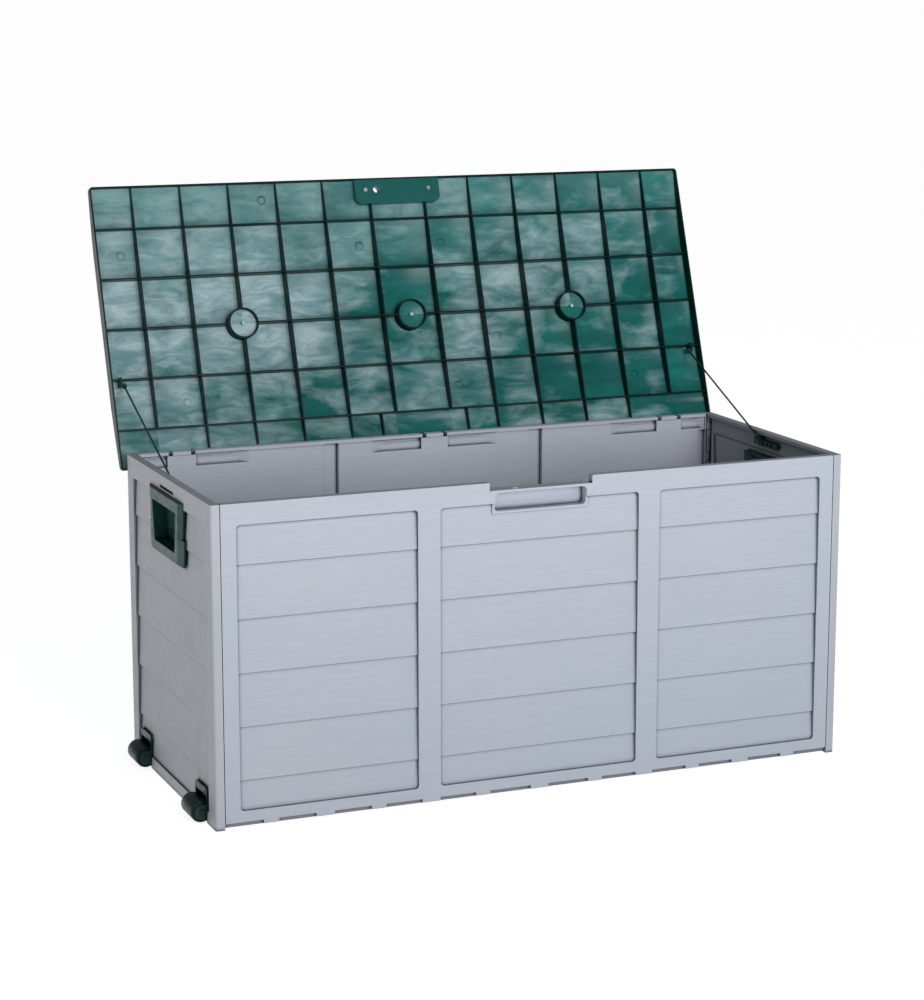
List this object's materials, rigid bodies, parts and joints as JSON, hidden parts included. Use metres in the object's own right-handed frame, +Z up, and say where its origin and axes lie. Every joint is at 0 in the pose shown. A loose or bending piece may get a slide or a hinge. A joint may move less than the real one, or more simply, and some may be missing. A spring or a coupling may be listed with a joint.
{
  "type": "deck_storage_box",
  "caption": "Outdoor deck storage box with plank-relief grey resin panels, a ribbed dark green hinged lid held open by two cords, two grip handles and two bottom rollers",
  "frame": {"origin": "Centre of the box's footprint, on the floor", "axes": "X runs along the box with the rollers at -X, -Y is the front with the latch notch, +Z is up"},
  "size_m": [1.1375, 0.647, 0.9514],
  "materials": {
    "grey_resin": "fine wood grain in a satin moulded resin",
    "green_resin": "dark green moulded resin with a pale bloom",
    "black_resin": "satin, lightly scuffed",
    "steel": "plain zinc plated",
    "cord_fibre": "twisted cord"
  },
  "bodies": {
    "box": {"base_panel": "grey_resin", "front_panel": "grey_resin", "back_panel": "grey_resin", "end_panel_left": "grey_resin", "end_panel_right": "grey_resin", "handle_left": "green_resin", "handle_right": "green_resin", "cord_anchor_left": "green_resin", "cord_anchor_right": "green_resin", "roller_bracket_front": "green_resin", "roller_bracket_rear": "green_resin", "axle_front": "black_resin", "axle_rear": "black_resin", "hinge_pin_left": "green_resin", "hinge_pin_middle": "green_resin", "hinge_pin_right": "green_resin", "cord_left": "cord_fibre", "cord_right": "cord_fibre"},
    "lid": {"lid_shell": "green_resin", "latch_plate": "green_resin", "latch_screws": "steel"},
    "front_roller": {"roller_front": "black_resin"},
    "rear_roller": {"roller_rear": "black_resin"}
  },
  "joints": [
    {"name": "lid_hinge", "type": "hinge", "parent": "box", "child": "lid", "pos_m": [0, 0.2335, 0.504], "axis": [1, 0, 0], "range_deg": [0, 109.5], "deforming": ["cord_left", "cord_right"]},
    {"name": "front_roller_spin", "type": "hinge", "parent": "box", "child": "front_roller", "pos_m": [-0.56, -0.157, 0.0185], "axis": [0, 1, 0], "continuous": true},
    {"name": "rear_roller_spin", "type": "hinge", "parent": "box", "child": "rear_roller", "pos_m": [-0.56, 0.157, 0.0185], "axis": [0, 1, 0], "continuous": true}
  ]
}
